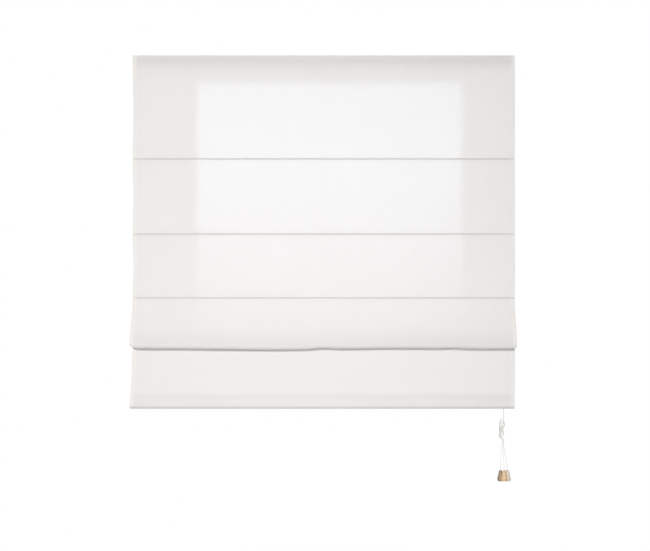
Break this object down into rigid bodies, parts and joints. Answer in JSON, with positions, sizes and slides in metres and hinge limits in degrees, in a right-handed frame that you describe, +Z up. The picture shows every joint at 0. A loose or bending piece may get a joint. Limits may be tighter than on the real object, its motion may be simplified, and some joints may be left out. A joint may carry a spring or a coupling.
{
  "type": "roman blind",
  "caption": "Cord-lifted roman blind: white cloth with sewn rod tucks and a hanging fold on a bracketed head rail, with lift cords, cord lock, wall cleat and wooden tassels.",
  "frame": {"origin": "centre of the wall screws of the two outer brackets, on the wall's surface", "axes": "+X to the right as seen from the room, +Y into the wall, +Z up"},
  "size_m": [1.35, 0.0836, 1.5125],
  "materials": {
    "cotton_cloth": "matte",
    "sewn_tape": "matte",
    "coated_aluminium": "satin",
    "white_nylon": "satin",
    "acetal": "gloss",
    "ring_plastic": "gloss",
    "plated_steel": "satin",
    "glass_fibre": "satin",
    "braided_cord": "matte",
    "white_abs": "gloss",
    "turned_beech": "satin"
  },
  "bodies": {
    "blind": {"fabric": "cotton_cloth", "hook_tape": "sewn_tape", "loop_tape": "sewn_tape", "headrail": "coated_aluminium", "end_cap_left": "white_nylon", "end_cap_right": "white_nylon", "lock_housing": "white_nylon", "carrier_left": "white_nylon", "carrier_centre": "white_nylon", "carrier_right": "white_nylon", "bracket_left": "plated_steel", "bracket_centre": "plated_steel", "bracket_right": "plated_steel", "pulley_pins": "plated_steel", "roller_pin": "plated_steel", "cam_pin": "plated_steel", "lift_cord_left": "braided_cord", "lift_cord_centre": "braided_cord", "lift_cord_right": "braided_cord", "rail_cord_left": "braided_cord", "rail_cord_centre": "braided_cord", "rail_cord_right": "braided_cord", "pull_cord_left": "braided_cord", "pull_cord_centre": "braided_cord", "pull_cord_right": "braided_cord", "cleat_turns": "braided_cord", "tail_cord_left": "braided_cord", "tail_cord_middle": "braided_cord", "tail_cord_right": "braided_cord", "cleat": "white_abs", "tassel_left": "turned_beech", "tassel_middle": "turned_beech", "tassel_right": "turned_beech"},
    "lift": {"rod_4": "glass_fibre", "rod_tips_4": "white_nylon", "rings_4": "ring_plastic", "cord_stops": "white_nylon", "bottom_bar": "coated_aluminium", "bar_caps": "white_nylon"},
    "rod_1": {"rod_1": "glass_fibre", "rod_tips_1": "white_nylon", "rings_1": "ring_plastic"},
    "rod_2": {"rod_2": "glass_fibre", "rod_tips_2": "white_nylon", "rings_2": "ring_plastic"},
    "rod_3": {"rod_3": "glass_fibre", "rod_tips_3": "white_nylon", "rings_3": "ring_plastic"},
    "pulley_left": {"pulley_left": "acetal"},
    "pulley_centre": {"pulley_centre": "acetal"},
    "pulley_right": {"pulley_right": "acetal"},
    "lock_roller": {"lock_roller": "acetal"},
    "lock_cam": {"lock_cam": "acetal"},
    "latch_left": {"latch_left": "white_nylon"},
    "latch_centre": {"latch_centre": "white_nylon"},
    "latch_right": {"latch_right": "white_nylon"}
  },
  "joints": [
    {"name": "lift", "type": "slide", "parent": "blind", "child": "lift", "axis": [0, 0, 1], "range_m": [-0.096, 0.55], "deforming": ["fabric", "lift_cord_left", "lift_cord_centre", "lift_cord_right"]},
    {"name": "rod_1_rise", "type": "slide", "parent": "blind", "child": "rod_1", "axis": [0, 0, 1], "range_m": [-0.02625, 0.15039]},
    {"name": "rod_2_rise", "type": "slide", "parent": "blind", "child": "rod_2", "axis": [0, 0, 1], "range_m": [-0.06555, 0.37557]},
    {"name": "rod_3_rise", "type": "slide", "parent": "blind", "child": "rod_3", "axis": [0, 0, 1], "range_m": [-0.09108, 0.52181]},
    {"name": "pulley_left_turn", "type": "hinge", "parent": "blind", "child": "pulley_left", "pos_m": [-0.4493, -0.02682, 0.0002], "axis": [0, 1, 0], "continuous": true},
    {"name": "pulley_centre_turn", "type": "hinge", "parent": "blind", "child": "pulley_centre", "pos_m": [0.0057, -0.02682, 0.0002], "axis": [0, 1, 0], "continuous": true},
    {"name": "pulley_right_turn", "type": "hinge", "parent": "blind", "child": "pulley_right", "pos_m": [0.4607, -0.02682, 0.0002], "axis": [0, 1, 0], "continuous": true},
    {"name": "lock_roller_turn", "type": "hinge", "parent": "blind", "child": "lock_roller", "pos_m": [0.6303, -0.02682, 0.0002], "axis": [0, 1, 0], "continuous": true},
    {"name": "lock_cam_turn", "type": "hinge", "parent": "blind", "child": "lock_cam", "pos_m": [0.6441, -0.02682, -0.0028], "axis": [0, 1, 0], "range_deg": [0, 35]},
    {"name": "latch_left_turn", "type": "hinge", "parent": "blind", "child": "latch_left", "pos_m": [-0.518, -0.027, 0.015], "axis": [0, 0, 1], "range_deg": [0, 90]},
    {"name": "latch_centre_turn", "type": "hinge", "parent": "blind", "child": "latch_centre", "pos_m": [0, -0.027, 0.015], "axis": [0, 0, 1], "range_deg": [0, 90]},
    {"name": "latch_right_turn", "type": "hinge", "parent": "blind", "child": "latch_right", "pos_m": [0.518, -0.027, 0.015], "axis": [0, 0, 1], "range_deg": [0, 90]}
  ],
  "couplings": [
    {"joint": "rod_1_rise", "follows": "lift", "ratio": 0.27343},
    {"joint": "rod_2_rise", "follows": "lift", "ratio": 0.68285},
    {"joint": "rod_3_rise", "follows": "lift", "ratio": 0.94874},
    {"joint": "pulley_left_turn", "follows": "lift", "rad_per_m": 175.44},
    {"joint": "pulley_centre_turn", "follows": "lift", "rad_per_m": 175.44},
    {"joint": "pulley_right_turn", "follows": "lift", "rad_per_m": 175.44},
    {"joint": "lock_roller_turn", "follows": "lift", "rad_per_m": 175.44}
  ]
}
